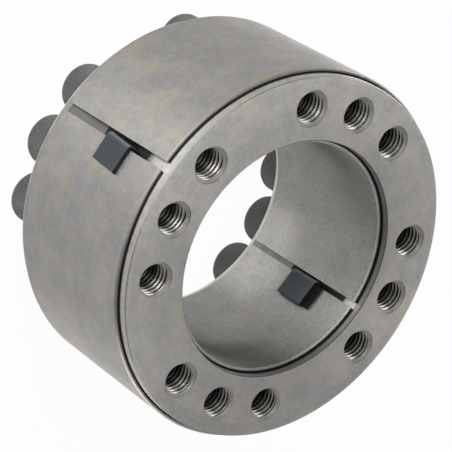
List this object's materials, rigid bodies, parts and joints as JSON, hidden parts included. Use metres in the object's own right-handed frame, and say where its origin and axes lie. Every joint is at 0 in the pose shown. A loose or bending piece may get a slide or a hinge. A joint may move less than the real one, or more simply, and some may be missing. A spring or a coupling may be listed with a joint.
{
  "type": "shaft locking assembly",
  "caption": "Double-taper locking assembly that clamps a hub on a shaft: slit outer and inner rings, two wedge rings and the screws that draw them together.",
  "frame": {"origin": "on the axis, at the rear face of the rear pressure ring, which the screw heads bear on", "axes": "+Z along the axis towards the front face with the tapped holes; the part stands on its screw heads"},
  "size_m": [0.1317, 0.13, 0.075],
  "materials": {
    "outer_ring_steel": "satin turned and oiled steel",
    "inner_ring_steel": "satin turned and oiled steel",
    "pressure_ring_steel": "satin turned and oiled steel",
    "screw_steel": "black oxide, knurled head",
    "plug_plastic": "slate grey moulded plastic"
  },
  "bodies": {
    "rear_pressure_ring": {"rear_pressure_ring": "pressure_ring_steel"},
    "front_pressure_ring": {"front_pressure_ring": "pressure_ring_steel"},
    "outer_ring": {"outer_ring": "outer_ring_steel", "outer_slit_plug": "plug_plastic"},
    "inner_ring": {"inner_ring": "inner_ring_steel", "inner_slit_plug": "plug_plastic"},
    "clamp_screw_01": {"clamp_screw_01": "screw_steel"},
    "clamp_screw_02": {"clamp_screw_02": "screw_steel"},
    "clamp_screw_03": {"clamp_screw_03": "screw_steel"},
    "clamp_screw_04": {"clamp_screw_04": "screw_steel"},
    "clamp_screw_05": {"clamp_screw_05": "screw_steel"},
    "clamp_screw_06": {"clamp_screw_06": "screw_steel"},
    "clamp_screw_07": {"clamp_screw_07": "screw_steel"},
    "clamp_screw_08": {"clamp_screw_08": "screw_steel"},
    "clamp_screw_09": {"clamp_screw_09": "screw_steel"},
    "clamp_screw_10": {"clamp_screw_10": "screw_steel"},
    "clamp_screw_11": {"clamp_screw_11": "screw_steel"},
    "clamp_screw_12": {"clamp_screw_12": "screw_steel"}
  },
  "joints": [
    {"name": "front_pressure_ring_draw", "type": "slide", "parent": "rear_pressure_ring", "child": "front_pressure_ring", "axis": [0, 0, -1], "range_m": [-0.0035, 0.0035]},
    {"name": "clamp_screw_01_turn", "type": "hinge", "parent": "rear_pressure_ring", "child": "clamp_screw_01", "pos_m": [0.0485, -0.02009, 0], "axis": [0, 0, 1], "range_deg": [-720, 720]},
    {"name": "clamp_screw_02_turn", "type": "hinge", "parent": "rear_pressure_ring", "child": "clamp_screw_02", "pos_m": [0.0525, 0, 0], "axis": [0, 0, 1], "range_deg": [-720, 720]},
    {"name": "clamp_screw_03_turn", "type": "hinge", "parent": "rear_pressure_ring", "child": "clamp_screw_03", "pos_m": [0.0485, 0.02009, 0], "axis": [0, 0, 1], "range_deg": [-720, 720]},
    {"name": "clamp_screw_04_turn", "type": "hinge", "parent": "rear_pressure_ring", "child": "clamp_screw_04", "pos_m": [0.02009, 0.0485, 0], "axis": [0, 0, 1], "range_deg": [-720, 720]},
    {"name": "clamp_screw_05_turn", "type": "hinge", "parent": "rear_pressure_ring", "child": "clamp_screw_05", "pos_m": [0, 0.0525, 0], "axis": [0, 0, 1], "range_deg": [-720, 720]},
    {"name": "clamp_screw_06_turn", "type": "hinge", "parent": "rear_pressure_ring", "child": "clamp_screw_06", "pos_m": [-0.02009, 0.0485, 0], "axis": [0, 0, 1], "range_deg": [-720, 720]},
    {"name": "clamp_screw_07_turn", "type": "hinge", "parent": "rear_pressure_ring", "child": "clamp_screw_07", "pos_m": [-0.0485, 0.02009, 0], "axis": [0, 0, 1], "range_deg": [-720, 720]},
    {"name": "clamp_screw_08_turn", "type": "hinge", "parent": "rear_pressure_ring", "child": "clamp_screw_08", "pos_m": [-0.0525, 0, 0], "axis": [0, 0, 1], "range_deg": [-720, 720]},
    {"name": "clamp_screw_09_turn", "type": "hinge", "parent": "rear_pressure_ring", "child": "clamp_screw_09", "pos_m": [-0.0485, -0.02009, 0], "axis": [0, 0, 1], "range_deg": [-720, 720]},
    {"name": "clamp_screw_10_turn", "type": "hinge", "parent": "rear_pressure_ring", "child": "clamp_screw_10", "pos_m": [-0.02009, -0.0485, 0], "axis": [0, 0, 1], "range_deg": [-720, 720]},
    {"name": "clamp_screw_11_turn", "type": "hinge", "parent": "rear_pressure_ring", "child": "clamp_screw_11", "pos_m": [0, -0.0525, 0], "axis": [0, 0, 1], "range_deg": [-720, 720]},
    {"name": "clamp_screw_12_turn", "type": "hinge", "parent": "rear_pressure_ring", "child": "clamp_screw_12", "pos_m": [0.02009, -0.0485, 0], "axis": [0, 0, 1], "range_deg": [-720, 720]},
    {"name": "outer_ring_draw", "type": "slide", "parent": "rear_pressure_ring", "child": "outer_ring", "axis": [0, 0, -1], "range_m": [-0.00175, 0.00175]},
    {"name": "inner_ring_draw", "type": "slide", "parent": "rear_pressure_ring", "child": "inner_ring", "axis": [0, 0, -1], "range_m": [-0.00175, 0.00175]}
  ],
  "couplings": [
    {"joint": "clamp_screw_01_turn", "follows": "front_pressure_ring_draw", "rad_per_m": 3590.4},
    {"joint": "clamp_screw_02_turn", "follows": "front_pressure_ring_draw", "rad_per_m": 3590.4},
    {"joint": "clamp_screw_03_turn", "follows": "front_pressure_ring_draw", "rad_per_m": 3590.4},
    {"joint": "clamp_screw_04_turn", "follows": "front_pressure_ring_draw", "rad_per_m": 3590.4},
    {"joint": "clamp_screw_05_turn", "follows": "front_pressure_ring_draw", "rad_per_m": 3590.4},
    {"joint": "clamp_screw_06_turn", "follows": "front_pressure_ring_draw", "rad_per_m": 3590.4},
    {"joint": "clamp_screw_07_turn", "follows": "front_pressure_ring_draw", "rad_per_m": 3590.4},
    {"joint": "clamp_screw_08_turn", "follows": "front_pressure_ring_draw", "rad_per_m": 3590.4},
    {"joint": "clamp_screw_09_turn", "follows": "front_pressure_ring_draw", "rad_per_m": 3590.4},
    {"joint": "clamp_screw_10_turn", "follows": "front_pressure_ring_draw", "rad_per_m": 3590.4},
    {"joint": "clamp_screw_11_turn", "follows": "front_pressure_ring_draw", "rad_per_m": 3590.4},
    {"joint": "clamp_screw_12_turn", "follows": "front_pressure_ring_draw", "rad_per_m": 3590.4},
    {"joint": "outer_ring_draw", "follows": "front_pressure_ring_draw", "ratio": 0.5},
    {"joint": "inner_ring_draw", "follows": "front_pressure_ring_draw", "ratio": 0.5}
  ]
}
